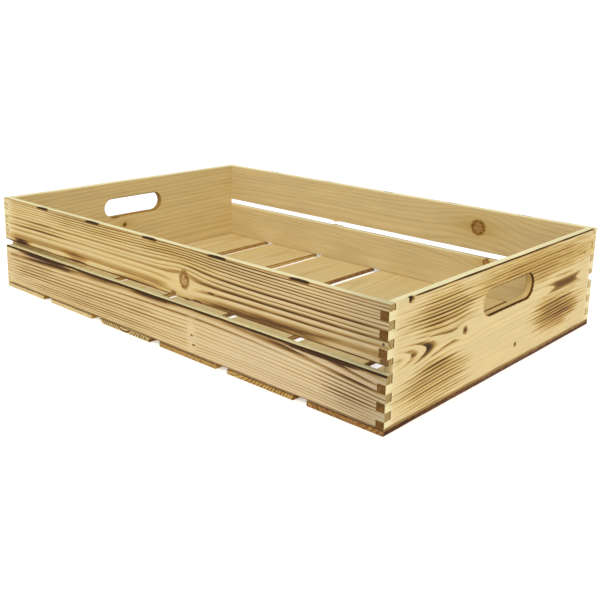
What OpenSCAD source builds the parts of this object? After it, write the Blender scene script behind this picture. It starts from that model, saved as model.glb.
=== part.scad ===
/* [Crate] */
// Outer length of the crate, over both end panels
crate_l = 600; // [420:10:800]
// Outer width of the crate, over both long sides
crate_w = 400; // [260:10:500]
// Thickness of the end panels and the side slats
wall_t = 9; // [7:0.5:14]
// Chamfer sanded on the long edges of every board
arris = 0.7; // [0.3:0.1:1.5]

/* [Long sides] */
// Height of the upper slat of a long side
upper_h = 53.5; // [44:0.5:80]
// Height of the open slit between the two slats
slit_h = 8.5; // [5:0.5:20]
// Height of the lower slat of a long side
lower_h = 48.5; // [36:0.5:80]

/* [Finger joints] */
// Height of one finger
finger_h = 8.3; // [6.5:0.1:10]
// Glue gap on the flanks of each finger
joint_gap = 0.1; // [0.05:0.05:0.3]

/* [Floor] */
// Thickness of a floor board
floor_t = 6; // [5:0.5:14]
// Nominal width of a floor board
board_w = 86; // [50:1:90]

// Width of the wane on the third floor board, at its front end
wane_w = 55; // [10:1:60]
// Depth of that wane at the edge of the board
wane_h = 1.8; // [0.6:0.1:3]
// How far the wane runs back along the board
wane_run = 140; // [40:5:180]
// Width of the wane on the lower edge of the same board
low_wane_w = 5; // [1:0.5:10]
// Height of that lower wane
low_wane_h = 4.5; // [2:0.5:5]

/* [Handholes] */
// Length of a handhole from round end to round end
handhole_l = 98.5; // [80:0.5:130]
// Height of a handhole
handhole_h = 25.4; // [20:0.2:32]
// Wood left between a handhole and the rim
handhole_drop = 23; // [16:0.5:30]
// How far a handhole sits from the middle of its panel
handhole_shift = 3.5; // [0:0.5:10]
// Easing around both mouths of a handhole
handhole_ease = 1.2; // [0.4:0.1:2]

/* [Chipped rim] */
// Distance of the chip from the front of the crate
chip_from_front = 31.5; // [20:0.5:60]
// Length of the chip along the rim
chip_l = 7.5; // [3:0.5:12]
// Height of the chip below the rim
chip_h = 5; // [2:0.5:8]
// Depth of the chip into the panel
chip_deep = 1.6; // [0.5:0.1:3]

/* [Fasteners] */
// Width of a floor staple over its legs
staple_w = 10; // [6:0.5:14]
// Length of a staple leg
staple_leg = 25; // [20:1:32]
// Thickness of the staple wire
staple_wire = 1.2; // [0.8:0.1:1.6]
// Distance of a staple from the edge of its board
staple_inset = 20; // [14:1:24]
// Diameter of a corner brad
brad_d = 1.6; // [1.2:0.1:2.2]
// Length of a corner brad
brad_l = 28; // [18:1:40]
// Diameter of the head of a corner brad
brad_head_d = 2.6; // [2.4:0.1:4]
// Thickness of the head of a corner brad
brad_head_t = 1.2; // [0.8:0.1:2]
// Gap between a fastener and the wood around it
nail_gap = 0.05; // [0.02:0.01:0.1]

/* [Hidden] */
$fn = 48;

LEFT = -1;
RIGHT = 1;
FRONT = -1;
BACK = 1;
SIDES = [-1, 1];

// Heights of the walls above the surface that the crate stands on
lower_top = floor_t + lower_h;
upper_bottom = lower_top + slit_h;
rim_z = upper_bottom + upper_h;
panel_h = rim_z - floor_t;
inner_w = crate_w - 2 * wall_t;
wall_mid = wall_t / 2;

// Fingers are counted down from the top edge of a slat, the slat's own finger first
upper_pins = floor(upper_h / finger_h / 2);
upper_first = (upper_h - (2 * upper_pins - 1) * finger_h) / 2;
lower_first = finger_h;
brad_drop = upper_first + (2 * floor(upper_pins / 2) + 1.5) * finger_h;
brad_z = rim_z - brad_drop;

// Each floor board was sawn a little wider or narrower than the nominal width
board_trim = [-3, -2, 4, 2, 2, 0];
board_n = len(board_trim);
floor_gap = (crate_l - board_n * board_w - sum_to(board_trim, board_n)) / (board_n - 1);

// Staples along each end panel, as places across the crate
end_staple_step = inner_w / 3;

// Extra reach of a cutter past the face that it opens
cut = 1;

function sum_to(list, n) = n <= 0 ? 0 : list[n - 1] + sum_to(list, n - 1);
function board_wide(i) = board_w + board_trim[i];
function board_x(i) = -crate_l / 2 + i * (board_w + floor_gap) + sum_to(board_trim, i);

// Heights of the panel's fingers in one slat, as pairs of bottom and top
function panel_fingers(top, h, first) = [
    for (drop = [first : 2 * finger_h : h - 2 * arris])
        [top - min(drop + finger_h, h), top - drop]
];
upper_fingers = panel_fingers(rim_z, upper_h, upper_first);
lower_fingers = panel_fingers(lower_top, lower_h, lower_first);

// Box with its four edges along X chamfered, from the origin corner
module plank_x(l, w, h) {
    rotate([90, 0, 90])
        linear_extrude(l)
            chamfered_section(w, h);
}

// Box with its four edges along Y chamfered, from the origin corner
module plank_y(l, w, h) {
    translate([0, l, 0])
        rotate([90, 0, 0])
            linear_extrude(l)
                chamfered_section(w, h);
}

module chamfered_section(w, h) {
    polygon([
        [arris, 0], [w - arris, 0], [w, arris], [w, h - arris],
        [w - arris, h], [arris, h], [0, h - arris], [0, arris]
    ]);
}

// Space that the panel's fingers need in the two ends of a slat on one long side
module finger_sockets(side, fingers) {
    for (end = SIDES, f = fingers)
        translate([end * (crate_l / 2 - wall_mid + cut / 2), side * (crate_w / 2 - wall_mid), 0])
            translate([-(wall_t + cut) / 2, -wall_mid - cut, f[0] - joint_gap])
                cube([wall_t + cut, wall_t + 2 * cut, f[1] - f[0] + 2 * joint_gap]);
}

module slat(side, bottom, h, fingers) {
    difference() {
        translate([-crate_l / 2, side * (crate_w / 2 - wall_mid) - wall_mid, bottom])
            plank_x(crate_l, wall_t, h);
        finger_sockets(side, fingers);
        corner_brad_row(nail_gap);
        floor_staple_row(nail_gap);
    }
}

// One mouth of the handhole, opened out by the easing towards its own face
module handhole_mouth() {
    r = handhole_h / 2;
    straight = handhole_l - handhole_h;
    for (end = SIDES)
        translate([end * straight / 2, 0, 0])
            cylinder(h = handhole_ease, r1 = r, r2 = r + handhole_ease);
    translate([-straight / 2, 0, 0])
        rotate([90, 0, 90])
            linear_extrude(straight)
                polygon([[-r, 0], [r, 0], [r + handhole_ease, handhole_ease], [-r - handhole_ease, handhole_ease]]);
}

// Long hole with round ends, centred on the origin and cut through along Z
module handhole() {
    straight = handhole_l - handhole_h;
    for (end = SIDES)
        translate([end * straight / 2, 0, -wall_mid - cut])
            cylinder(h = wall_t + 2 * cut, d = handhole_h);
    translate([-straight / 2, -handhole_h / 2, -wall_mid - cut])
        cube([straight, handhole_h, wall_t + 2 * cut]);
    for (face = [0, 180])
        rotate([face, 0, 0])
            translate([0, 0, wall_mid - handhole_ease])
                handhole_mouth();
}

// End panel of one end: both are cut alike and turned to face each other
module end_panel(end) {
    difference() {
        union() {
            translate([end * (crate_l / 2 - wall_mid) - wall_mid, -inner_w / 2, floor_t])
                plank_y(inner_w, wall_t, panel_h);
            for (side = SIDES, f = concat(upper_fingers, lower_fingers))
                translate([end * (crate_l / 2 - wall_mid) - wall_mid, side * (crate_w / 2 - wall_mid) - wall_mid, f[0]])
                    cube([wall_t, wall_t, f[1] - f[0]]);
        }
        translate([
            end * (crate_l / 2 - wall_mid),
            end * handhole_shift,
            rim_z - handhole_drop - handhole_h / 2
        ])
            rotate([90, 0, 90])
                handhole();
        corner_brad_row(nail_gap);
        floor_staple_row(nail_gap);
    }
}

module rim_chip() {
    translate([crate_l / 2 - chip_deep, chip_from_front - crate_w / 2 - chip_l / 2, rim_z - chip_h])
        cube([chip_deep + cut, chip_l, chip_h + cut]);
}

module floor_board(i) {
    difference() {
        translate([board_x(i), -crate_w / 2, 0])
            plank_y(crate_w, board_wide(i), floor_t);
        floor_staple_row(nail_gap);
    }
}

// Slanting cut across a corner at the origin, for a board that lies towards -X, +Y and -Z
module wane(w, h, run) {
    trace = sqrt(w * w + run * run);
    reach = w * run / trace;
    translate([-w, 0, 0])
        rotate([0, 0, atan2(run, w)])
            rotate([atan2(h, reach), 0, 0])
                translate([-trace, -3 * reach, 0])
                    cube([3 * trace, 3 * reach, 2 * h]);
}

// The third board was cut near the bark: one upper and one lower corner are missing at its front
module waney_board() {
    i = 2;
    difference() {
        floor_board(i);
        translate([board_x(i) + board_wide(i), -crate_w / 2, floor_t])
            wane(wane_w, wane_h, wane_run);
        translate([board_x(i), -crate_w / 2, 0])
            mirror([1, 0, 0])
                mirror([0, 0, 1])
                    wane(low_wane_w, low_wane_h, wane_run);
    }
}

// Staple with its crown along X, driven upwards from the origin; grow widens it into its own hole
module staple(grow) {
    wire = staple_wire + 2 * grow;
    for (leg = SIDES)
        translate([leg * (staple_w - staple_wire) / 2 - wire / 2, -wire / 2, -grow])
            cube([wire, wire, staple_leg + 2 * grow]);
    translate([-staple_w / 2 - grow, -wire / 2, -grow])
        cube([staple_w + 2 * grow, wire, staple_wire + 2 * grow]);
}

// Every floor staple: two through each board end, and three under each end panel
module floor_staple_row(grow = 0) {
    for (i = [0 : board_n - 1], side = SIDES, edge = SIDES)
        translate([
            board_x(i) + board_wide(i) / 2 + edge * (board_wide(i) / 2 - staple_inset),
            side * (crate_w / 2 - wall_mid),
            0
        ])
            staple(grow);
    for (end = SIDES, step = [-1 : 1])
        translate([end * (crate_l / 2 - wall_mid), step * end_staple_step, 0])
            rotate([0, 0, 90])
                staple(grow);
}

// Brad with its head flush at the origin, driven along Y; grow widens it into its own hole
module brad(grow) {
    rotate([-90, 0, 0]) {
        translate([0, 0, -grow])
            cylinder(h = brad_l + 2 * grow, d = brad_d + 2 * grow);
        translate([0, 0, -grow])
            cylinder(h = brad_head_t + 2 * grow, d = brad_head_d + 2 * grow);
    }
}

// One brad through the middle finger of each upper joint
module corner_brad_row(grow = 0) {
    for (end = SIDES, turn = [0, 180])
        rotate([0, 0, turn])
            translate([end * (crate_l / 2 - wall_mid), -crate_w / 2, brad_z])
                brad(grow);
}

module end_panel_left() {
    color("burlywood")
        end_panel(LEFT);
}

module end_panel_right() {
    color("burlywood")
        difference() {
            end_panel(RIGHT);
            rim_chip();
        }
}

module front_upper_slat() {
    color("tan")
        slat(FRONT, upper_bottom, upper_h, upper_fingers);
}

module front_lower_slat() {
    color("tan")
        slat(FRONT, floor_t, lower_h, lower_fingers);
}

module back_upper_slat() {
    color("wheat")
        slat(BACK, upper_bottom, upper_h, upper_fingers);
}

module back_lower_slat() {
    color("wheat")
        slat(BACK, floor_t, lower_h, lower_fingers);
}

module floor_plank(i) {
    color("navajowhite")
        floor_board(i);
}

module waney_plank() {
    color("navajowhite")
        waney_board();
}

module floor_staples() {
    color("silver")
        floor_staple_row();
}

module corner_brads() {
    color("dimgray")
        corner_brad_row();
}

end_panel_left();
end_panel_right();
front_upper_slat();
front_lower_slat();
back_upper_slat();
back_lower_slat();
floor_plank(0);  // floor_board_1
floor_plank(1);  // floor_board_2
waney_plank();  // floor_board_3
floor_plank(3);  // floor_board_4
floor_plank(4);  // floor_board_5
floor_plank(5);  // floor_board_6
floor_staples();
corner_brads();
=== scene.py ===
"""Looks of the wooden produce crate: flamed pine boards, wire staples, brads, light and camera."""
import math

import bmesh
import bpy
from mathutils import Matrix, Vector, noise


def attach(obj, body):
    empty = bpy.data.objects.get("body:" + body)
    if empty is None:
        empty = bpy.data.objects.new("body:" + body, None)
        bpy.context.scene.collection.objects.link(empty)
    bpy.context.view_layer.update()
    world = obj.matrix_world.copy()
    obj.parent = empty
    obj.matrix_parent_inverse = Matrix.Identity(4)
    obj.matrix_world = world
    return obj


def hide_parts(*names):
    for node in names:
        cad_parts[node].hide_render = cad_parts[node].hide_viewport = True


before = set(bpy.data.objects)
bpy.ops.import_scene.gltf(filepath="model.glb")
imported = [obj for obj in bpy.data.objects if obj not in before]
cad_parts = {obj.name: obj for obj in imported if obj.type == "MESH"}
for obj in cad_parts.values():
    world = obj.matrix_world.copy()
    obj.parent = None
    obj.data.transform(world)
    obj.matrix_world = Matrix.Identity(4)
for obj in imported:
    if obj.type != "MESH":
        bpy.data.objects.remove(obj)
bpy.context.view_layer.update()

# Scene units are metres, in the row frame
MM = 0.001

# Faces of the boards, in millimetres
LONG_HALF = 300.0
WIDE_HALF = 200.0
RIM = 116.5
FLOOR_TOP = 6.0
SLIT_LOW = 54.5
SLIT_HIGH = 63.0


# Node wiring

def tint(red, green, blue):
    """An sRGB colour, each part 0 to 255, as the linear colour that a shader takes."""
    linear = []
    for part in (red, green, blue):
        share = part / 255
        linear.append(share / 12.92 if share <= 0.04045 else ((share + 0.055) / 1.055) ** 2.4)
    return (*linear, 1.0)


def wire(tree, source, socket):
    """Feeds a socket from another node's output, or sets it to a plain value."""
    if isinstance(source, bpy.types.NodeSocket):
        tree.links.new(source, socket)
    else:
        socket.default_value = source


def maths(tree, operation, *values):
    step = tree.nodes.new("ShaderNodeMath")
    step.operation = operation
    for socket, value in zip(step.inputs, values):
        wire(tree, value, socket)
    return step.outputs[0]


def plus(tree, first, second):
    return maths(tree, "ADD", first, second)


def minus(tree, first, second):
    return maths(tree, "SUBTRACT", first, second)


def times(tree, first, second):
    return maths(tree, "MULTIPLY", first, second)


def times_plus(tree, value, factor, added):
    return maths(tree, "MULTIPLY_ADD", value, factor, added)


def divided(tree, value, divisor):
    return maths(tree, "DIVIDE", value, divisor)


def larger(tree, first, second):
    return maths(tree, "MAXIMUM", first, second)


def unsigned(tree, value):
    """The value without its sign."""
    return maths(tree, "ABSOLUTE", value)


def square_sum(tree, first, second):
    return plus(tree, times(tree, first, first), times(tree, second, second))


def length_of(tree, first, second):
    """How long a step is that goes first one way and second at right angles to it."""
    return maths(tree, "SQRT", square_sum(tree, first, second))


def sway(tree, value, speckle, amount):
    """The value, moved up and down by noise of 0 to 1 about its middle."""
    return times_plus(tree, minus(tree, speckle, 0.5), amount, value)


def fade(tree, value, start, end, low=0.0, high=1.0):
    """Runs smoothly from low, at start, to high, at end."""
    step = tree.nodes.new("ShaderNodeMapRange")
    step.interpolation_type = "SMOOTHSTEP"
    wire(tree, value, step.inputs["Value"])
    wire(tree, start, step.inputs["From Min"])
    wire(tree, end, step.inputs["From Max"])
    wire(tree, low, step.inputs["To Min"])
    wire(tree, high, step.inputs["To Max"])
    return step.outputs["Result"]


def between(tree, share, first, second):
    """A value that goes from first to second as share goes from 0 to 1."""
    step = tree.nodes.new("ShaderNodeMix")
    step.data_type = "FLOAT"
    wire(tree, share, step.inputs[0])
    wire(tree, first, step.inputs[2])
    wire(tree, second, step.inputs[3])
    return step.outputs[0]


def blend_colours(tree, share, first, second, method="MIX"):
    step = tree.nodes.new("ShaderNodeMix")
    step.data_type = "RGBA"
    step.blend_type = method
    wire(tree, share, step.inputs[0])
    wire(tree, first, step.inputs[6])
    wire(tree, second, step.inputs[7])
    return step.outputs[2]


def colour_run(tree, share, stops):
    """A colour ramp from (place, colour) pairs."""
    step = tree.nodes.new("ShaderNodeValToRGB")
    ramp = step.color_ramp
    while len(ramp.elements) < len(stops):
        ramp.elements.new(0.5)
    for element, (place, colour) in zip(ramp.elements, stops):
        element.position = place
        element.color = colour
    wire(tree, share, step.inputs["Fac"])
    return step.outputs["Color"]


def spots(tree, point, size, detail=2.0, roughness=0.5, shift=0.0):
    """Noise of 0 to 1 with spots of the given size, in millimetres along, across and deep."""
    scaled = tree.nodes.new("ShaderNodeVectorMath")
    scaled.operation = "MULTIPLY_ADD"
    wire(tree, point, scaled.inputs[0])
    scaled.inputs[1].default_value = [1.0 / length for length in size]
    if isinstance(shift, bpy.types.NodeSocket):
        tree.links.new(shift, scaled.inputs[2])
    else:
        scaled.inputs[2].default_value = (shift, shift, shift)
    texture = tree.nodes.new("ShaderNodeTexNoise")
    texture.inputs["Scale"].default_value = 1.0
    texture.inputs["Detail"].default_value = detail
    texture.inputs["Roughness"].default_value = roughness
    tree.links.new(scaled.outputs[0], texture.inputs["Vector"])
    return texture.outputs["Fac"]


SOCKET_KINDS = {"Point": "Vector", "Colour": "Color"}


def effect(name, inputs, outputs):
    """An empty node group with named sockets, which are plain numbers unless listed above."""
    tree = bpy.data.node_groups.new(name, "ShaderNodeTree")
    for direction, labels in (("INPUT", inputs), ("OUTPUT", outputs)):
        for label in labels:
            kind = SOCKET_KINDS.get(label, "Float")
            tree.interface.new_socket(label, in_out=direction, socket_type="NodeSocket" + kind)
    return tree, tree.nodes.new("NodeGroupInput").outputs, tree.nodes.new("NodeGroupOutput").inputs


def use(tree, group, sources):
    """Places a group in a tree, feeds its inputs and gives its outputs."""
    step = tree.nodes.new("ShaderNodeGroup")
    step.node_tree = group
    for label, source in sources.items():
        wire(tree, source, step.inputs[label])
    return step.outputs


# Effects that the boards share. Lengths are in millimetres

# Spots of noise: their size along, across and into the board
SLOW_DRIFT = (260.0, 60.0, 90.0)
QUICK_DRIFT = (50.0, 14.0, 30.0)
CLOUD = (90.0, 12.0, 40.0)
FIBRE = (22.0, 0.6, 0.8)
THREAD = (60.0, 0.55, 4.0)
STREAK = (48.0, 2.6, 6.0)
KNOT_SPECK = (3.0, 3.0, 9.0)
RIM_SPECK = (2.6, 2.6, 2.6)
PATCHY = (5.0, 5.0, 5.0)

# Knots: how flat the bend of the grain is, and the ragged outline, fine circles and dark rim of the mark
BEND_FLATNESS = 0.2
KNOT_RAGGEDNESS = 0.9
KNOT_CIRCLES = 2.1
KNOT_BODY = (1.15, 0.75)
KNOT_RIM = (0.4, 0.0)

# Growth rings: how fast their width changes from year to year, and how sharply each dark part starts
YEAR_CHANGE = 0.37
YEAR_START = (0.0, 0.06)
THREAD_SHARE = (0.52, 0.7, 0.0, 0.5)

# Charred long edges: how ragged they are, how much of the width is full char, and the fade at their ends
ARRIS_RAGGEDNESS = -2.4
ARRIS_CORE = 0.3
ARRIS_FADE = 12.0

# Handhole rim: the run along it to the burnt and to the quiet end, then what the effect goes from and to
BURNT_END = (34.0, 44.0, 1.6, 1.75)
QUIET_END = (-46.0, -34.0, 0.25, 1.0)
RIM_SKIN = (3.0, 1.0)
RIM_GLOW = (4.0, 0.5)

# Colours of pine from fresh to browned through, and how the dark grain darkens with its burn
BROWNED = [
    (0.0, tint(227, 218, 172)), (0.1, tint(211, 191, 142)), (0.3, tint(199, 173, 113)),
    (0.5, tint(182, 150, 86)), (0.7, tint(157, 119, 68)), (0.85, tint(128, 90, 58)),
    (1.0, tint(88, 60, 44))]
BURNT = [
    (0.0, (1.0, 1.0, 1.0, 1.0)), (0.2, (0.76, 0.66, 0.47, 1.0)), (0.4, (0.52, 0.39, 0.22, 1.0)),
    (0.6, (0.31, 0.21, 0.11, 1.0)), (0.8, (0.16, 0.1, 0.052, 1.0)), (1.0, (0.06, 0.037, 0.024, 1.0))]
WAN_WOOD = tint(203, 183, 150)
CUT_WOOD = tint(140, 100, 60)
KNOT_WOOD = tint(154, 112, 58)
KNOT_RIM_BURN = 0.65


def make_knot_bend():
    """Grain that flows round a branch, and the branch's own round mark."""
    tree, given, made = effect(
        "Knot Bend",
        ("Along", "Across", "Point", "Knot Along", "Knot Across", "Radius", "Tallness", "Reach"),
        ("Across", "Knot", "Rim", "Halo"))
    side = minus(tree, given["Along"], given["Knot Along"])
    rise = minus(tree, given["Across"], given["Knot Across"])
    side_square = times(tree, side, side)
    away = times_plus(tree, side_square, BEND_FLATNESS, times(tree, rise, rise))
    reach_square = times(tree, given["Reach"], given["Reach"])
    share = divided(tree, away, plus(tree, away, reach_square))
    tree.links.new(times_plus(tree, rise, share, given["Knot Across"]), made["Across"])
    tree.links.new(maths(tree, "POWER", minus(tree, 1.0, share), 2.0), made["Halo"])
    ragged = spots(tree, given["Point"], KNOT_SPECK, detail=3.0)
    flat_rise = divided(tree, rise, given["Tallness"])
    round_away = maths(tree, "SQRT", times_plus(tree, flat_rise, flat_rise, side_square))
    stray = times(tree, minus(tree, ragged, 0.5), given["Radius"])
    distance = times_plus(tree, stray, KNOT_RAGGEDNESS, round_away)
    ratio = divided(tree, distance, given["Radius"])
    swirl = maths(tree, "SINE", times(tree, distance, KNOT_CIRCLES))
    uneven = times_plus(tree, ragged, 0.9, times_plus(tree, swirl, 0.1, 0.3))
    tree.links.new(times(tree, fade(tree, ratio, *KNOT_BODY), uneven), made["Knot"])
    rim = unsigned(tree, minus(tree, ratio, 1.0))
    broken = times_plus(tree, ragged, 2.2, -0.35)
    tree.links.new(times(tree, fade(tree, rim, *KNOT_RIM), broken), made["Rim"])
    return tree


def make_growth_rings():
    """Growth rings cut by the board: the part of each year that scorches, fine fibre and clouds of tone."""
    tree, given, made = effect(
        "Growth Rings",
        ("Point", "Across", "Depth", "Heart Across", "Heart Depth", "Ring Width", "Crowding", "Wander",
         "Unevenness", "Shift", "Breadth", "Seed"),
        ("Dark Grain", "Fibre", "Cloud"))
    slow = spots(tree, given["Point"], SLOW_DRIFT, detail=1.0, shift=given["Seed"])
    quick = spots(tree, given["Point"], QUICK_DRIFT, detail=1.0, shift=given["Seed"])
    stray = plus(tree, times(tree, minus(tree, slow, 0.5), 2.0), times(tree, minus(tree, quick, 0.5), 0.5))
    across = minus(tree, given["Across"], given["Heart Across"])
    across = times_plus(tree, stray, given["Wander"], across)
    deep = plus(tree, given["Heart Depth"], given["Depth"])
    square = square_sum(tree, across, deep)
    rings = divided(tree, maths(tree, "SQRT", square), given["Ring Width"])
    rings = times_plus(tree, square, given["Crowding"], rings)
    years = tree.nodes.new("ShaderNodeTexNoise")
    years.noise_dimensions = "1D"
    years.inputs["Scale"].default_value = 1.0
    years.inputs["Detail"].default_value = 1.0
    tree.links.new(times_plus(tree, rings, YEAR_CHANGE, given["Seed"]), years.inputs["W"])
    uneven = times(tree, minus(tree, years.outputs["Fac"], 0.5), given["Unevenness"])
    rings = plus(tree, plus(tree, rings, uneven), given["Shift"])
    phase = maths(tree, "FRACT", rings)
    chance = tree.nodes.new("ShaderNodeTexWhiteNoise")
    chance.noise_dimensions = "1D"
    tree.links.new(plus(tree, maths(tree, "FLOOR", rings), given["Seed"]), chance.inputs["W"])
    tone = chance.outputs["Value"]
    starts = fade(tree, phase, *YEAR_START)
    breadth = times(tree, given["Breadth"], times_plus(tree, tone, 0.5, 0.75))
    stops = fade(tree, phase, times(tree, breadth, 0.25), breadth, 1.0, 0.0)
    fibre = spots(tree, given["Point"], FIBRE, detail=3.0, roughness=0.6)
    strength = times(tree, times_plus(tree, tone, 0.45, 0.7), times_plus(tree, fibre, 0.6, 0.7))
    dark = times(tree, times(tree, starts, stops), strength)
    thread = fade(tree, spots(tree, given["Point"], THREAD, detail=2.0), *THREAD_SHARE)
    dark = larger(tree, dark, times(tree, thread, fibre))
    cloud = spots(tree, given["Point"], CLOUD, detail=3.0, shift=given["Seed"])
    tree.links.new(maths(tree, "MINIMUM", dark, 1.0), made["Dark Grain"])
    tree.links.new(fibre, made["Fibre"])
    tree.links.new(cloud, made["Cloud"])
    return tree


def make_scorch_patch():
    """A place that the flame held on longer: an oval with streaky ends, and a crisper one for a burn."""
    tree, given, made = effect(
        "Scorch Patch",
        ("Along", "Across", "Streak", "Middle Along", "Middle Across", "Half Length", "Half Height"),
        ("Share", "Mark"))
    side = minus(tree, given["Along"], given["Middle Along"])
    side = divided(tree, side, given["Half Length"])
    rise = minus(tree, given["Across"], given["Middle Across"])
    rise = divided(tree, rise, given["Half Height"])
    away = length_of(tree, side, rise)
    tree.links.new(fade(tree, sway(tree, away, given["Streak"], 1.3), 1.3, 0.2), made["Share"])
    tree.links.new(fade(tree, sway(tree, away, given["Streak"], 0.5), 1.15, 0.7), made["Mark"])
    return tree


def make_arris_char():
    """Thin charred line where the flame met a long edge of the outer face; at the floor top it is partly
    painted shadow.
    """
    tree, given, made = effect(
        "Arris Char",
        ("Along", "Across", "Depth", "Edge", "Start", "Stop", "Streak", "Strength", "Width"),
        ("Char",))
    away = length_of(tree, minus(tree, given["Across"], given["Edge"]), given["Depth"])
    away = sway(tree, away, given["Streak"], ARRIS_RAGGEDNESS)
    inside = times(tree, given["Width"], ARRIS_CORE)
    line = times(tree, fade(tree, away, given["Width"], inside), given["Strength"])
    starts = fade(tree, given["Along"], given["Start"], plus(tree, given["Start"], ARRIS_FADE))
    stops = fade(tree, given["Along"], given["Stop"], minus(tree, given["Stop"], ARRIS_FADE))
    tree.links.new(times(tree, line, times(tree, starts, stops)), made["Char"])
    return tree


def make_handhole_char():
    """Burnt rim of a handhole: thin along its straight sides, wide and jagged at one end."""
    tree, given, made = effect(
        "Handhole Char",
        ("Along", "Across", "Depth", "Point", "Middle Along", "Middle Across", "Straight", "Radius"),
        ("Char", "Near"))
    side = minus(tree, given["Along"], given["Middle Along"])
    past = larger(tree, minus(tree, unsigned(tree, side), given["Straight"]), 0.0)
    rise = minus(tree, given["Across"], given["Middle Across"])
    away = unsigned(tree, minus(tree, length_of(tree, past, rise), given["Radius"]))
    jagged = spots(tree, given["Point"], RIM_SPECK, detail=3.0)
    reach = times(tree, fade(tree, side, *BURNT_END), times_plus(tree, jagged, 1.6, 0.1))
    near = fade(tree, away, plus(tree, reach, 0.5), times(tree, reach, 0.5))
    char = times(tree, near, fade(tree, side, *QUIET_END))
    char = times(tree, char, fade(tree, given["Depth"], *RIM_SKIN))
    tree.links.new(char, made["Char"])
    tree.links.new(fade(tree, away, *RIM_GLOW), made["Near"])
    return tree


def make_flamed_tones():
    """Pine colour: toast browns the wood evenly, and dark grain, char, painted shadow lines at the joints
    and knots darken it through brown.
    """
    tree, given, made = effect(
        "Flamed Tones",
        ("Dark Grain", "Fibre", "Cloud", "Streak", "Flame", "Toast", "Wan", "Shade", "Char", "Knot", "Rim",
         "End Grain"),
        ("Colour", "Roughness", "Height"))
    soft = colour_run(tree, given["Toast"], BROWNED)
    soft = blend_colours(tree, given["Wan"], soft, WAN_WOOD)
    tone = times_plus(tree, given["Cloud"], 0.3, 0.85)
    tone = sway(tree, tone, given["Fibre"], 0.3)
    tone = sway(tree, tone, given["Streak"], 0.16)
    tone = times(tree, tone, given["Shade"])
    grey = tree.nodes.new("ShaderNodeCombineColor")
    for socket in grey.inputs:
        tree.links.new(tone, socket)
    wood = blend_colours(tree, 1.0, soft, grey.outputs[0], "MULTIPLY")
    wood = blend_colours(tree, times(tree, given["End Grain"], 0.1), wood, CUT_WOOD)
    wood = blend_colours(tree, given["Knot"], wood, KNOT_WOOD)
    burn = times(tree, given["Dark Grain"], given["Flame"])
    burn = larger(tree, burn, times(tree, given["Rim"], KNOT_RIM_BURN))
    burn = larger(tree, burn, given["Char"])
    wood = blend_colours(tree, 1.0, wood, colour_run(tree, burn, BURNT), "MULTIPLY")
    tree.links.new(wood, made["Colour"])
    rough = times_plus(tree, given["Fibre"], 0.16, 0.58)
    tree.links.new(times_plus(tree, burn, 0.1, rough), made["Roughness"])
    relief = times_plus(tree, given["Fibre"], 0.35, times(tree, given["Dark Grain"], -0.5))
    tree.links.new(times_plus(tree, given["Char"], -0.35, relief), made["Height"])
    return tree


KNOT_BEND = make_knot_bend()
GROWTH_RINGS = make_growth_rings()
SCORCH_PATCH = make_scorch_patch()
ARRIS_CHAR = make_arris_char()
HANDHOLE_CHAR = make_handhole_char()
FLAMED_TONES = make_flamed_tones()

# Which way each kind of board lies: the axes along, across and through it, its outer face as
# depth = turn * coordinate + start, and half its length, in millimetres
LIES = {
    "front": ("X", "Z", "Y", 1.0, WIDE_HALF, LONG_HALF),
    "back": ("X", "Z", "Y", -1.0, WIDE_HALF, LONG_HALF),
    "right": ("Y", "Z", "X", -1.0, LONG_HALF, WIDE_HALF),
    "left": ("Y", "Z", "X", 1.0, LONG_HALF, WIDE_HALF),
    "floor": ("Y", "X", "Z", -1.0, FLOOR_TOP, WIDE_HALF),
}


def millimetre_point(tree):
    """The piece's own coordinates, in millimetres."""
    coordinates = tree.nodes.new("ShaderNodeTexCoord")
    scaled = tree.nodes.new("ShaderNodeMapping")
    scaled.inputs["Scale"].default_value = (1 / MM, 1 / MM, 1 / MM)
    tree.links.new(coordinates.outputs["Object"], scaled.inputs["Vector"])
    return scaled.outputs["Vector"]


def new_material(name):
    material = bpy.data.materials.new(name)
    material.use_nodes = True
    return material, material.node_tree, material.node_tree.nodes["Principled BSDF"]


def roughen(tree, shader, height, strength, distance):
    """Small relief under the finish."""
    relief = tree.nodes.new("ShaderNodeBump")
    relief.inputs["Strength"].default_value = strength
    relief.inputs["Distance"].default_value = distance
    tree.links.new(height, relief.inputs["Height"])
    tree.links.new(relief.outputs["Normal"], shader.inputs["Normal"])


def heart_line(tree, along, places):
    """The depth of the tree's heart under the outer face, from (place along, depth) pairs."""
    deepest = max(depth for place, depth in places)
    spread = [(0.5 + 0.5 * place / LONG_HALF, depth / deepest) for place, depth in places]
    step = tree.nodes.new("ShaderNodeFloatCurve")
    curve = step.mapping.curves[0]
    curve.points[0].location = spread[0]
    curve.points[1].location = spread[-1]
    for place, depth in spread[1:-1]:
        curve.points.new(place, depth)
    step.mapping.extend = "HORIZONTAL"
    step.mapping.update()
    wire(tree, times_plus(tree, along, 0.5 / LONG_HALF, 0.5), step.inputs["Value"])
    return times(tree, step.outputs["Value"], deepest)


def oval(tree, along, across, ragged, shape, output):
    """How much a scorch patch counts, from its middle along and across, half length and half height."""
    middle_along, middle_across, half_length, half_height = shape
    patch = use(tree, SCORCH_PATCH, {
        "Along": along, "Across": across, "Streak": ragged, "Middle Along": middle_along,
        "Middle Across": middle_across, "Half Length": half_length, "Half Height": half_height})
    return patch[output]


# Where the flame's colour on the outer face starts and is full, in depth, and the same for other effects:
# a normal that makes another face of it, the tips, the rim and the runs along a board
SKIN = (2.2, 0.4)
OTHER_FACE = (0.6, 0.9)
TIP_START = 3.0
TIP_FULL = 1.5
RIM_BAND = (RIM - 3.0, RIM - 1.2)
WAN_RUN = (20.0, 170.0)
DIM_RUN = (205.0, 300.0)

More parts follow.
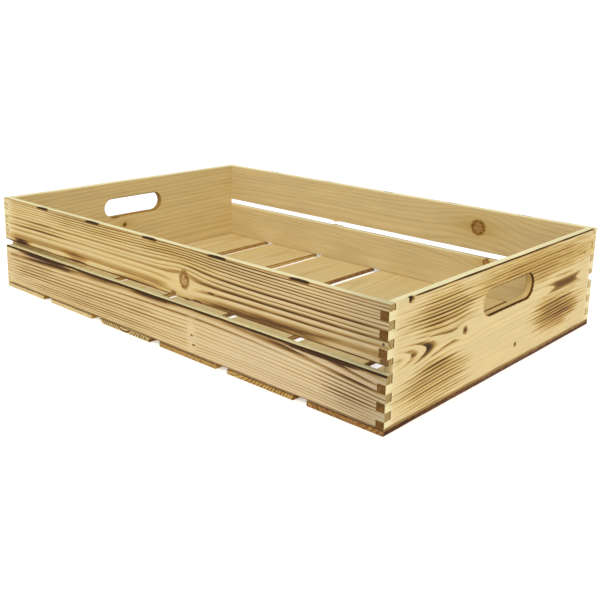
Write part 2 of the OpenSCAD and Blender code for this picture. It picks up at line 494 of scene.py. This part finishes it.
# How much a knot calms the flame and toasts the wood round it, and the toast round a handhole
HALO_CALM = -0.85
HALO_TOAST = 0.25
HOLE_TOAST = 0.35

# The share of flame left at a board's very ends, how deep the marks on the rim go, the noise of the
# streaks apart from the clouds', and the finish: gloss, and the strength and height of its relief
PALE_SHARE = 0.3
RIM_MARK_DEPTH = 3.2
STREAK_SHIFT = 3.1
WOOD_GLOSS = 0.14
WOOD_RELIEF = (0.5, 0.3 * MM)


def pine(name, lie, heart, heart_across, ring, crowding=0.0, lean=0.0, wander=1.0, unevenness=0.4,
         shift=0.0, breadth=0.65, seed=0.0, knots=(), outer=(0.25, 0.15), inner=(0.07, 0.14),
         edge=(0.02, 0.0), tips=(0.25, 0.1, 0.0), patches=(), calm=(), burns=(), burn_depth=3.5,
         wan=(0.0, 0.0), dim=1.0, pale_ends=20.0, arris=(), rim_marks=(), joint_shadow=None, handhole=None,
         hole_skin=1.0, hole_burn=1.0):
    """The wood of one board. Places and lengths are in millimetres, along and across the board.

    heart to seed: how the board was cut from the tree, and how its rings run
    knots: middle, radius, tallness and reach of the bend
    outer, inner, edge: flame on the dark grain and toast of all the wood on those faces
    tips: the same for the cut ends, and their char
    patches, calm, burns: middle, half length and half height, then the strength of what they do
    wan, dim: share of greyer wood, from and to, and the shade at the board's far end
    pale_ends: length of the paler stretch at either end
    arris: a charred edge's place, strength, width, start and stop; the line at the floor top is partly
    painted shadow
    rim_marks: middle and half length
    joint_shadow: depths that a dark line of painted shadow at the joint runs between, its strength, and its
    share on the long edges
    handhole: middle, half the length of its straight sides, radius
    burn_depth: how deep burns go
    hole_skin, hole_burn: 0 lets the handhole's char go right through, and how strong it is
    """
    material, tree, shader = new_material(name)
    along_axis, across_axis, depth_axis, turn, start, reach = LIES[lie]
    parts = tree.nodes.new("ShaderNodeSeparateXYZ")
    tree.links.new(millimetre_point(tree), parts.inputs[0])
    along = parts.outputs[along_axis]
    across = parts.outputs[across_axis]
    depth = times_plus(tree, parts.outputs[depth_axis], turn, start)
    joined = tree.nodes.new("ShaderNodeCombineXYZ")
    for socket, value in zip(joined.inputs, (along, across, depth)):
        tree.links.new(value, socket)
    point = joined.outputs[0]
    streak = spots(tree, point, STREAK, detail=2.5, roughness=0.6, shift=seed + STREAK_SHIFT)
    patchy = times_plus(tree, spots(tree, point, PATCHY, detail=3.0, shift=seed), 0.7, 0.65)

    # Grain
    bent = times_plus(tree, along, -lean, across)
    knot = 0.0
    rim = 0.0
    halo = 0.0
    for knot_along, knot_across, radius, tallness, bend in knots:
        turned = use(tree, KNOT_BEND, {
            "Along": along, "Across": bent, "Point": point, "Knot Along": knot_along,
            "Knot Across": knot_across - lean * knot_along, "Radius": radius, "Tallness": tallness,
            "Reach": bend})
        bent = turned["Across"]
        knot = larger(tree, knot, turned["Knot"])
        rim = larger(tree, rim, turned["Rim"])
        halo = larger(tree, halo, turned["Halo"])
    rings = use(tree, GROWTH_RINGS, {
        "Point": point, "Across": bent, "Depth": depth, "Heart Across": heart_across,
        "Heart Depth": heart_line(tree, along, heart), "Ring Width": ring, "Crowding": crowding,
        "Wander": wander, "Unevenness": unevenness, "Shift": shift, "Breadth": breadth, "Seed": seed})

    # The outer face
    from_middle = unsigned(tree, along)
    ends = fade(tree, from_middle, reach - 0.2 * pale_ends, reach - 1.4 * pale_ends, PALE_SHARE, 1.0)
    flicker = times(tree, times_plus(tree, rings["Cloud"], 0.9, 0.55), ends)
    flame = times(tree, flicker, outer[0])
    toast = times(tree, flicker, outer[1])
    for *shape, patch_flame, patch_toast in patches:
        share = oval(tree, along, across, streak, shape, "Share")
        flame = larger(tree, flame, times(tree, share, patch_flame))
        toast = larger(tree, toast, times(tree, share, patch_toast))
    flame = times(tree, flame, times_plus(tree, halo, HALO_CALM, 1.0))
    for *shape, strength in calm:
        share = oval(tree, along, across, streak, shape, "Share")
        flame = times(tree, flame, times_plus(tree, share, -strength, 1.0))

    # The inner face, the long edges and the tips
    normal = tree.nodes.new("ShaderNodeNewGeometry")
    facing = tree.nodes.new("ShaderNodeSeparateXYZ")
    tree.links.new(normal.outputs["Normal"], facing.inputs[0])
    end_grain = fade(tree, unsigned(tree, facing.outputs[along_axis]), *OTHER_FACE)
    long_edge = fade(tree, unsigned(tree, facing.outputs[across_axis]), *OTHER_FACE)
    tip = times(tree, end_grain, fade(tree, from_middle, reach - TIP_START, reach - TIP_FULL))
    skin = fade(tree, depth, *SKIN)
    plain_flame = between(tree, long_edge, inner[0], times(tree, patchy, edge[0]))
    plain_toast = between(tree, long_edge, inner[1], times(tree, patchy, edge[1]))
    plain_toast = times_plus(tree, halo, HALO_TOAST, plain_toast)
    flame = between(tree, skin, plain_flame, flame)
    toast = between(tree, skin, plain_toast, toast)
    flame = between(tree, tip, flame, times(tree, patchy, tips[0]))
    toast = between(tree, tip, toast, times(tree, patchy, tips[1]))

    # Char, and painted shadow lines at the joints
    char = times(tree, times(tree, tip, patchy), tips[2])
    # The dark joint line is painted shadow where the pieces meet, and darkens the wood like char
    if joint_shadow:
        line_start, line_end, line_strength, long_edge_share = joint_shadow
        line = fade(tree, depth, line_start, line_end, 0.0, line_strength)
        line = times(tree, line, larger(tree, tip, times(tree, long_edge, long_edge_share)))
        char = larger(tree, char, times(tree, line, patchy))
    for place, strength, width, first, last in arris:
        line = use(tree, ARRIS_CHAR, {
            "Along": along, "Across": across, "Depth": depth, "Edge": place, "Start": first,
            "Stop": last, "Streak": streak, "Strength": strength, "Width": width})
        char = larger(tree, char, line["Char"])
    for *shape, strength in burns:
        burnt = times(tree, oval(tree, along, across, patchy, shape, "Mark"), strength)
        burnt = times(tree, burnt, fade(tree, depth, burn_depth, 0.5 * burn_depth))
        char = larger(tree, char, burnt)
    for middle, half_length in rim_marks:
        mark = oval(tree, along, depth, streak, (middle, 0.0, half_length, RIM_MARK_DEPTH), "Mark")
        char = larger(tree, char, times(tree, mark, fade(tree, across, *RIM_BAND)))
    if handhole:
        middle_along, middle_across, straight, radius = handhole
        hole = use(tree, HANDHOLE_CHAR, {
            "Along": along, "Across": across, "Depth": times(tree, depth, hole_skin), "Point": point,
            "Middle Along": middle_along, "Middle Across": middle_across, "Straight": straight,
            "Radius": radius})
        char = larger(tree, char, times(tree, hole["Char"], hole_burn))
        toast = larger(tree, toast, times(tree, hole["Near"], HOLE_TOAST))

    tones = use(tree, FLAMED_TONES, {
        "Dark Grain": rings["Dark Grain"], "Fibre": rings["Fibre"], "Cloud": rings["Cloud"],
        "Streak": streak, "Flame": flame, "Toast": toast, "Char": char, "Knot": knot, "Rim": rim,
        "Wan": times(tree, fade(tree, along, *WAN_RUN, *wan), skin),
        "Shade": fade(tree, along, *DIM_RUN, 1.0, dim), "End Grain": end_grain})
    tree.links.new(tones["Colour"], shader.inputs["Base Color"])
    tree.links.new(tones["Roughness"], shader.inputs["Roughness"])
    shader.inputs["Specular IOR Level"].default_value = WOOD_GLOSS
    roughen(tree, shader, tones["Height"], *WOOD_RELIEF)
    return material


# Boards: the CAD solids with eased edges that stray a little, as sawn boards do

X, Y, Z = range(3)
STRAY = 0.25 * MM
STRAY_LENGTH = 45 * MM
HIGH_EDGE = 1.0
LOW_EDGE = 7.0
ARRIS = 0.22 * MM
MERGE = 0.002 * MM
FLAT_ANGLE = math.radians(1.0)
SHARP_ANGLE = math.radians(30)
CUT_STEP = 6 * MM
CUT_SNAP = 0.001 * MM
JOINT_CLEAR = 22 * MM


def wooden_copy(node):
    """A merged copy of a CAD solid with its sharp edges eased."""
    shape = bmesh.new()
    shape.from_mesh(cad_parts[node].data)
    bmesh.ops.remove_doubles(shape, verts=shape.verts, dist=MERGE)
    bmesh.ops.dissolve_limit(shape, angle_limit=FLAT_ANGLE, verts=shape.verts, edges=shape.edges)
    sharp = [edge for edge in shape.edges if edge.calc_face_angle(0.0) > SHARP_ANGLE]
    bmesh.ops.bevel(shape, geom=sharp, offset=ARRIS, offset_type="OFFSET", segments=2, profile=0.5,
                    affect="EDGES", clamp_overlap=True, material=-1)
    return shape


def cut_across(shape, axis, places):
    """Cuts a board's faces square across at the places, so that its edges can stray."""
    for place in places:
        spot = Vector((0.0, 0.0, 0.0))
        spot[axis] = place
        square = Vector((0.0, 0.0, 0.0))
        square[axis] = 1.0
        geometry = [*shape.verts, *shape.edges, *shape.faces]
        bmesh.ops.bisect_plane(shape, geom=geometry, dist=CUT_SNAP, plane_co=spot, plane_no=square)


def steps(low, high, step):
    """Even places between low and high, about a step apart."""
    count = max(1, round((high - low) / step))
    return [low + (high - low) * i / count for i in range(1, count)]


def stray_edges(shape, along, across, low_stays, seed):
    """Lets a sawn board's long edges stray a little from straight, away from its joints."""
    places = [v.co[along] for v in shape.verts]
    start, end = min(places), max(places)
    edges = [v.co[across] for v in shape.verts]
    low, high = min(edges), max(edges)
    middle, half = (low + high) / 2, (high - low) / 2
    for vertex in shape.verts:
        place = vertex.co[along]
        clear = min(1.0, max(0.0, min(place - start, end - place) - JOINT_CLEAR) / JOINT_CLEAR)
        side = (vertex.co[across] - middle) / half
        if side < 0 and low_stays:
            continue
        row = seed + (HIGH_EDGE if side > 0 else LOW_EDGE)
        shift = noise.noise(Vector((place / STRAY_LENGTH, row, 0.5)))
        vertex.co[across] += STRAY * shift * clear * abs(side)


def new_object(shape, name, material):
    """Turns a finished shape into an object of one material."""
    mesh = bpy.data.meshes.new(name)
    shape.to_mesh(mesh)
    shape.free()
    mesh.materials.clear()
    mesh.materials.append(material)
    piece = bpy.data.objects.new(name, mesh)
    bpy.context.scene.collection.objects.link(piece)
    return piece


def finish_piece(shape, name, node, material):
    """Puts a piece on the crate in place of its CAD node."""
    piece = new_object(shape, name, material)
    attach(piece, "root")
    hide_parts(node)


def board(node, material, along, across, seed, low_stays=False, extra=(), more=None):
    """One board's piece. along and across are axis numbers, extra adds cuts, and more changes it last."""
    shape = wooden_copy(node)
    places = [v.co[along] for v in shape.verts]
    cut_across(shape, along, sorted(steps(min(places), max(places), CUT_STEP) + list(extra)))
    stray_edges(shape, along, across, low_stays, seed)
    if more:
        more(shape)
    finish_piece(shape, node + "_wood", node, material)


def hump(place, middle, half):
    """1 at the middle, falling smoothly to 0 at half away."""
    share = max(0.0, 1.0 - ((place - middle) / half) ** 2)
    return share * share


# Where the front upper slat's lower edge hangs lower, half the length of that, and by how much
BURL = (50 * MM, 8 * MM, 1.0 * MM)
SAG = (-272 * MM, 26 * MM, 1.3 * MM)
SAG_HEIGHT = 14 * MM
FINE_CUT = 1.5 * MM
BURL_CUTS = steps(40 * MM, 60 * MM, FINE_CUT)


def burl_bulge(shape):
    """The front upper slat bulges under its knot and sags at its left end."""
    for vertex in shape.verts:
        low = hump(vertex.co.z, SLIT_HIGH * MM, SAG_HEIGHT)
        for middle, half, drop in (BURL, SAG):
            vertex.co.z -= drop * hump(vertex.co.x, middle, half) * low


# Torn fibre at the back slit: its middle, half its length, its height and depth, and its strands
TEAR_MIDDLE = -78 * MM
TEAR_HALF = 13 * MM
TEAR_HEIGHT = 3 * MM
TEAR_DEPTH = 2.2 * MM
STRAND_WIDTH = 3 * MM
STRAND_DEPTH = 5 * MM
TEAR_CUTS = steps(-92 * MM, -64 * MM, FINE_CUT)


def torn_edge(edge, turn):
    """Torn fibre on a slat's edge, which narrows the slit at the back."""
    def tear(shape):
        for vertex in shape.verts:
            near = hump(vertex.co.x, TEAR_MIDDLE, TEAR_HALF) * hump(vertex.co.z, edge * MM, TEAR_HEIGHT)
            spot = Vector((vertex.co.x / STRAND_WIDTH, vertex.co.y / STRAND_DEPTH, edge))
            ragged = 0.6 + 0.7 * noise.noise(spot)
            vertex.co.z += turn * TEAR_DEPTH * near * ragged
    return tear


# The handholes and the bites out of their burnt end, in millimetres
HANDHOLE = dict(across=80.8, straight=36.55, radius=12.7)
HANDHOLE_SHIFT = 3.5
BITE_START = -3
BITE_REACH = 1.6
BITE_SPOTS = 2.3

# How far out the bites begin, how deep they go and where the panels are cut for them, in metres
OUTER_SKIN = 297.5 * MM
BITE_DEPTH = 0.7 * MM
BITE_CUT = 1.2 * MM
RIGHT_BITE_CUTS = steps(38 * MM, 56 * MM, BITE_CUT)
LEFT_BITE_CUTS = steps(30 * MM, 50 * MM, BITE_CUT)


def jagged_handhole(middle):
    """The burnt end of a handhole has lost a little wood at its outer arris."""
    def burn_away(shape):
        for vertex in shape.verts:
            side = vertex.co.y / MM - middle
            rise = vertex.co.z / MM - HANDHOLE["across"]
            past = side - HANDHOLE["straight"]
            away = math.hypot(past, rise)
            at_rim = past > BITE_START and abs(away - HANDHOLE["radius"]) < BITE_REACH
            if at_rim and abs(vertex.co.x) > OUTER_SKIN:
                ragged = 0.5 + noise.noise(Vector((side / BITE_SPOTS, rise / BITE_SPOTS, 4.0)))
                push = max(0.0, ragged) * BITE_DEPTH / away
                vertex.co.y += past * push
                vertex.co.z += rise * push
    return burn_away


# An arris char from end to end, the burnt marks on the rim, and a dark joint line with painted contact
# shadow at a slat's tips, where it meets the end panel
ALL_ALONG = (-400.0, 400.0)
RIM_MARKS = [(-212.0, 13.0), (-110.0, 14.0), (-9.0, 13.0), (95.0, 14.0), (201.0, 13.0)]
SLAT_JOINT_SHADOW = (7.0, 8.4, 0.75, 0.0)

front_upper = pine(
    "flamed_pine_front_upper", "front",
    heart=[(-300, 29.8), (-200, 28.9), (-60, 28.6), (30, 28.8), (75, 30), (200, 30.2), (300, 29.6)],
    heart_across=60.0, ring=200.0, crowding=0.0036, wander=1.3, shift=0.58, seed=11.0,
    outer=(0.4, 0.2), tips=(0.4, 0.25, 0.1), wan=(0.0, 0.5), dim=0.74, pale_ends=22.0,
    rim_marks=RIM_MARKS, joint_shadow=SLAT_JOINT_SHADOW,
    knots=[(47.0, 83.5, 6.4, 1.4, 10.0)],
    patches=[(-258, 66, 26, 5, 0.9, 0.85), (-146, 69, 34, 6, 0.6, 0.7), (-146, 64.5, 30, 2.2, 0.8, 0.85),
             (-25, 66, 60, 3.5, 0.6, 0.6), (150, 66, 95, 6, 0.6, 0.56), (170, 92, 210, 44, 0.85, 0.27),
             (90, 108, 200, 14, 1.0, 0.38), (-100, 108, 160, 14, 0.85, 0.3), (-215, 90, 75, 12, 0.8, 0.26)],
    burns=[(-262, 65, 22, 3, 0.75), (-140, 64.2, 28, 1.9, 0.72), (-40, 64.2, 66, 1.7, 0.74),
           (87, 77.5, 8, 1.8, 0.8), (297, 66, 7, 5, 0.6), (30, 66, 7, 2.8, 0.6),
           (67, 64.5, 12, 2.3, 0.8), (49.5, 86, 3.4, 3.2, 0.34)],
    calm=[(44, 74, 34, 13, 1.0), (-90, 80, 120, 9, 0.5), (262, 67, 46, 3.5, 0.9)],
    arris=[(SLIT_HIGH, 0.85, 2.3, *ALL_ALONG), (RIM, 0.35, 1.8, *ALL_ALONG)])
front_lower = pine(
    "flamed_pine_front_lower", "front",
    heart=[(-300, 51), (-150, 52), (0, 53), (100, 53), (180, 52), (240, 50.4), (300, 48)],
    heart_across=60.0, ring=1.95, wander=0.9, seed=23.0,
    outer=(0.3, 0.14), tips=(0.4, 0.25, 0.1), wan=(0.36, 0.8), dim=0.72, pale_ends=18.0, joint_shadow=SLAT_JOINT_SHADOW,
    knots=[(57.0, 26.5, 1.3, 0.7, 2.5), (60.0, 17.0, 1.6, 0.7, 3.0)],
    patches=[(-120, 28, 210, 46, 0.55, 0.3), (-230, 35, 85, 24, 0.75, 0.34), (-215, 50, 80, 6, 1.0, 0.85),
             (-5, 51, 55, 4.5, 0.95, 0.7), (218, 51, 80, 5.5, 1.0, 0.8), (60, 47, 250, 9, 0.7, 0.26),
             (262, 34, 46, 26, 0.85, 0.3)],
    burns=[(-215, 52, 75, 3, 0.9), (-105, 52.8, 60, 2, 0.85), (-5, 52.4, 48, 2.2, 0.85),
           (228, 52.4, 66, 2.7, 0.92), (58, 26.5, 3.6, 0.9, 0.6), (61, 17, 4.2, 1.0, 0.62)],
    calm=[(57, 26, 9, 26, 0.9), (130, 26, 80, 20, 0.4)],
    # The dark line at FLOOR_TOP is partly char and partly painted shadow where the slat stands on the floor
    # boards
    arris=[(SLIT_LOW, 1.0, 2.6, *ALL_ALONG), (FLOOR_TOP, 0.6, 1.9, *ALL_ALONG)])
back_upper = pine(
    "flamed_pine_back_upper", "back",
    heart=[(-300, 32), (-100, 30), (60, 30), (153, 26), (230, 34), (300, 36)],
    heart_across=58.0, ring=3.6, wander=1.4, seed=37.0,
    outer=(0.45, 0.24), rim_marks=[(-middle, half) for middle, half in RIM_MARKS], joint_shadow=SLAT_JOINT_SHADOW,
    knots=[(153.5, 92.5, 8.5, 1.0, 18.0), (137.5, 67.0, 3.0, 1.0, 6.0)],
    patches=[(-180, 70, 80, 8, 0.8, 0.7), (30, 100, 130, 14, 0.8, 0.4), (210, 72, 80, 8, 0.8, 0.7)],
    arris=[(SLIT_HIGH, 0.85, 2.3, *ALL_ALONG), (RIM, 0.35, 1.8, *ALL_ALONG)])
back_lower = pine(
    "flamed_pine_back_lower", "back",
    heart=[(-300, 50), (-60, 45), (100, 42), (170, 38), (300, 46)],
    heart_across=70.0, ring=2.6, wander=1.2, seed=41.0, joint_shadow=SLAT_JOINT_SHADOW,
    outer=(0.4, 0.18), knots=[(168.0, 50.0, 4.0, 1.0, 9.0)],
    patches=[(-120, 50, 100, 6, 0.9, 0.85), (120, 49, 120, 6, 0.9, 0.8), (20, 24, 220, 18, 0.65, 0.34)],
    burns=[(-120, 52, 80, 2.6, 0.85), (130, 52, 90, 2.6, 0.85)],
    # The dark line at FLOOR_TOP is partly char and partly painted shadow where the slat stands on the floor
    # boards
    arris=[(SLIT_LOW, 0.95, 2.5, *ALL_ALONG), (FLOOR_TOP, 0.6, 1.9, *ALL_ALONG)])
right_end = pine(
    "flamed_pine_right_end", "right",
    heart=[(-200, 8.6), (-190, 9.3), (-165.6, 12.0), (-142.5, 15.0), (-120, 17.0), (-105, 17.65),
           (-96, 17.8), (-86, 17.55), (-72, 17.0), (-40, 17.2), (40, 17.3), (85, 17.6), (100, 18.0),
           (115, 18.35), (130, 18.5), (147, 18.35), (158.7, 18.0), (172, 17.2), (200, 15.6)],
    heart_across=65.0, lean=0.0135, ring=3.0, wander=0.5, unevenness=0.08, breadth=0.62, seed=5.0,
    outer=(0.06, 0.13), tips=(0.3, 0.4, 0.66), pale_ends=14.0,
    handhole=(HANDHOLE_SHIFT, *HANDHOLE.values()),
    knots=[(-78.0, 64.0, 3.5, 1.0, 6.0), (23.0, 23.0, 2.4, 1.0, 4.5), (174.0, 92.0, 1.4, 1.0, 2.5)],
    patches=[(60, 99, 170, 24, 0.45, 0.5), (-112, 93, 64, 26, 0.85, 0.38), (-124, 86, 36, 14, 0.9, 0.46),
             (-128, 64, 54, 13, 1.0, 0.16), (-125, 28, 64, 26, 0.7, 0.34), (-124, 42, 40, 9, 0.95, 0.48),
             (112, 40, 60, 25, 0.8, 0.6), (125, 34, 46, 9, 0.9, 0.74), (130, 68, 50, 13, 0.85, 0.3),
             (12, 101, 30, 10, 0.7, 0.45)],
    burns=[(-168.5, 114.5, 5.5, 4.5, 1.0), (-197, 60, 6, 5, 0.9), (23, 23, 2.6, 2.2, 0.62),
           (-78, 64, 3.2, 3.4, 0.72), (174, 92, 3, 1.3, 0.5), (-135, 65.5, 9, 4.2, 0.5),
           (-97, 69.5, 9, 1.5, 0.55), (-99, 58.5, 9, 1.5, 0.5)],
    # The dark line at FLOOR_TOP is partly char and partly painted shadow where the panel meets the floor
    # boards
    arris=[(RIM, 1.0, 1.7, -168.0, 400.0), (FLOOR_TOP, 0.7, 1.9, *ALL_ALONG)])
left_end = pine(
    "flamed_pine_left_end", "left",
    heart=[(-200, 30), (0, 34), (200, 38)],
    heart_across=-14.0, lean=0.05, ring=5.2, wander=1.6, seed=67.0,
    outer=(0.2, 0.14), inner=(0.08, 0.2), tips=(0.2, 0.1, 0.0),
    handhole=(-HANDHOLE_SHIFT, *HANDHOLE.values()),
    knots=[(-20.0, 54.0, 3.0, 1.0, 7.0), (-38.0, 68.5, 2.2, 0.6, 5.0)],
    hole_skin=0.0, hole_burn=0.38, burn_depth=40.0,
    burns=[(-20, 54, 2.9, 2.6, 0.66), (-36, 66.8, 10, 1.5, 0.62)],
    patches=[(120, 90, 60, 22, 0.8, 0.5), (-120, 40, 70, 26, 0.8, 0.5), (100, 35, 60, 16, 0.7, 0.4),
             (-60, 104, 120, 12, 0.6, 0.4)],
    # The dark line at FLOOR_TOP is partly char and partly painted shadow where the panel meets the floor
    # boards
    arris=[(RIM, 0.9, 1.8, *ALL_ALONG), (FLOOR_TOP, 0.7, 1.9, *ALL_ALONG)])

board("front_upper_slat", front_upper, X, Z, 1.0, extra=BURL_CUTS, more=burl_bulge)
board("front_lower_slat", front_lower, X, Z, 2.0, low_stays=True)
board("back_upper_slat", back_upper, X, Z, 3.0, extra=TEAR_CUTS,
      more=torn_edge(SLIT_HIGH, -1.0))
board("back_lower_slat", back_lower, X, Z, 4.0, low_stays=True, extra=TEAR_CUTS,
      more=torn_edge(SLIT_LOW, 1.0))
board("end_panel_right", right_end, Y, Z, 5.0, low_stays=True,
      extra=RIGHT_BITE_CUTS, more=jagged_handhole(HANDHOLE_SHIFT))
board("end_panel_left", left_end, Y, Z, 6.0, low_stays=True,
      extra=LEFT_BITE_CUTS, more=jagged_handhole(-HANDHOLE_SHIFT))

# Painted shadow line, partly char, along the top of each floor board's ends and long edges, under the slats
# and in the gaps: depths it runs between, its strength, and its share on the long edges
BOARD_JOINT_SHADOW = (1.8, 0.8, 0.8, 1.0)
BOARD_SEED = 80.0
BOARD_SEED_STEP = 7.3
BOARD_EDGE_SEED = 10.0

# Each floor board's heart across, its depth at the front and at the back, the ring width, and the flame,
# toast and char on its long edges and tips
FLOOR_BOARDS = [
    (-262.0, 22, 30, 4.2, (0.3, 0.62), (0.12, 0.14, 0.0)),
    (-150.0, 40, 30, 3.8, (0.3, 0.55), (0.12, 0.14, 0.0)),
    (-56.0, 14, 20, 3.6, (0.5, 0.85), (0.9, 0.25, 0.0)),
    (20.0, 50, 60, 3.2, (0.4, 0.7), (0.15, 0.6, 0.0)),
    (110.0, 36, 30, 3.4, (0.4, 0.85), (0.5, 0.5, 0.0)),
    (260.0, 26, 34, 4.4, (0.5, 1.0), (0.4, 0.72, 0.1)),
]
for number, (heart_across, front_depth, back_depth, ring, edge, tips) in enumerate(FLOOR_BOARDS, 1):
    node = f"floor_board_{number}"
    wood = pine(f"pine_{node}", "floor", [(-WIDE_HALF, front_depth), (WIDE_HALF, back_depth)],
                heart_across, ring, wander=2.0, seed=BOARD_SEED + BOARD_SEED_STEP * number,
                outer=(0.1, 0.18), inner=(0.17, 0.16), edge=edge, tips=tips, pale_ends=2.0,
                joint_shadow=BOARD_JOINT_SHADOW)
    board(node, wood, Y, X, BOARD_EDGE_SEED + number)


# Metal

DULL_SPOTS = (1.6, 1.6, 1.6)
FINE_SPOTS = (0.3, 0.3, 0.3)
METAL_RELIEF = (0.3, 0.1 * MM)


def drawn_wire(name, colour, dark, roughness):
    """Zinc or steel wire with dull spots."""
    material, tree, shader = new_material(name)
    point = millimetre_point(tree)
    dull = fade(tree, spots(tree, point, DULL_SPOTS, detail=3.0), 0.4, 0.7)
    fine = spots(tree, point, FINE_SPOTS, detail=2.0)
    tree.links.new(blend_colours(tree, dull, colour, dark), shader.inputs["Base Color"])
    tree.links.new(times_plus(tree, fine, 0.2, roughness), shader.inputs["Roughness"])
    shader.inputs["Metallic"].default_value = 1.0
    roughen(tree, shader, fine, *METAL_RELIEF)
    return material


finish_piece(wooden_copy("floor_staples"), "floor_staples_wire", "floor_staples",
             drawn_wire("zinc_staple_wire", tint(190, 190, 186), tint(150, 150, 148), 0.3))
finish_piece(wooden_copy("corner_brads"), "corner_brads_steel", "corner_brads",
             drawn_wire("dark_brad_steel", tint(92, 84, 76), tint(60, 50, 42), 0.4))


# Ground, light and camera

GROUND_RADIUS = 14.0
GROUND_GLOW = 0.22
MOTTLE = (160.0, 160.0, 160.0)
SUN_STRENGTH = 2.05
SUN_SPREAD = math.radians(38)
SUN_FROM = Vector((0.58, -0.6, 0.88))
SUN_COLOUR = (1.0, 0.985, 0.96)
ROOM_LIGHT = 0.62
WHITE = (1.0, 1.0, 1.0, 1.0)


def ground():
    """Pale ground that takes the crate's soft shadow."""
    shape = bmesh.new()
    bmesh.ops.create_circle(shape, cap_ends=True, cap_tris=False, segments=96, radius=GROUND_RADIUS)
    material, tree, shader = new_material("pale_paper")
    mottle = spots(tree, millimetre_point(tree), MOTTLE)
    colour = blend_colours(tree, mottle, tint(246, 246, 245), tint(250, 250, 250))
    tree.links.new(colour, shader.inputs["Base Color"])
    tree.links.new(colour, shader.inputs["Emission Color"])
    shader.inputs["Emission Strength"].default_value = GROUND_GLOW
    shader.inputs["Roughness"].default_value = 0.9
    shader.inputs["Specular IOR Level"].default_value = 0.1
    piece = new_object(shape, "pale_floor", material)


def key_light():
    """One broad, soft light from the right, in front and above."""
    lamp = bpy.data.lights.new("key_light", "SUN")
    lamp.energy = SUN_STRENGTH
    lamp.angle = SUN_SPREAD
    lamp.color = SUN_COLOUR
    holder = bpy.data.objects.new("key_light", lamp)
    holder.rotation_euler = SUN_FROM.to_track_quat("Z", "Y").to_euler()
    bpy.context.scene.collection.objects.link(holder)


def white_room():
    """Even light from all round, against a background of plain white."""
    world = bpy.data.worlds.new("white_room")
    world.use_nodes = True
    tree = world.node_tree
    even = tree.nodes["Background"]
    even.inputs["Color"].default_value = WHITE
    even.inputs["Strength"].default_value = ROOM_LIGHT
    seen = tree.nodes.new("ShaderNodeBackground")
    seen.inputs["Color"].default_value = WHITE
    path = tree.nodes.new("ShaderNodeLightPath")
    choice = tree.nodes.new("ShaderNodeMixShader")
    tree.links.new(path.outputs["Is Camera Ray"], choice.inputs[0])
    tree.links.new(even.outputs[0], choice.inputs[1])
    tree.links.new(seen.outputs[0], choice.inputs[2])
    tree.links.new(choice.outputs[0], tree.nodes["World Output"].inputs["Surface"])
    bpy.context.scene.world = world


ground()
key_light()
white_room()
bpy.context.scene.view_settings.view_transform = "Standard"

# Where the photograph was taken from
CAMERA_PLACE = Vector((0.6839, -0.7464, 0.3356))
CAMERA_YAW = math.radians(-42.47)
CAMERA_PITCH = math.radians(-13.56)
CAMERA_ROLL = math.radians(1.04)
PICTURE = 600.0
FOCAL_PIXELS = 860.5
CENTRE_ACROSS = 285.0
CENTRE_DOWN = 231.9
SENSOR = 36.0

ahead = Vector((
    math.cos(CAMERA_PITCH) * math.sin(CAMERA_YAW),
    math.cos(CAMERA_PITCH) * math.cos(CAMERA_YAW),
    math.sin(CAMERA_PITCH)))
level = ahead.cross(Vector((0.0, 0.0, 1.0))).normalized()
upright = level.cross(ahead)
camera_right = math.cos(CAMERA_ROLL) * level + math.sin(CAMERA_ROLL) * upright
camera_up = -math.sin(CAMERA_ROLL) * level + math.cos(CAMERA_ROLL) * upright
turned = Matrix((camera_right, camera_up, -ahead)).transposed().to_4x4()

lens = bpy.data.cameras.new("camera")
lens.sensor_width = SENSOR
lens.lens = SENSOR * FOCAL_PIXELS / PICTURE
lens.shift_x = (PICTURE / 2 - CENTRE_ACROSS) / PICTURE
lens.shift_y = (CENTRE_DOWN - PICTURE / 2) / PICTURE
lens.clip_start = 0.02
lens.clip_end = 60.0
viewer = bpy.data.objects.new("camera", lens)
viewer.matrix_world = Matrix.Translation(CAMERA_PLACE) @ turned
bpy.context.scene.collection.objects.link(viewer)
bpy.context.scene.camera = viewer
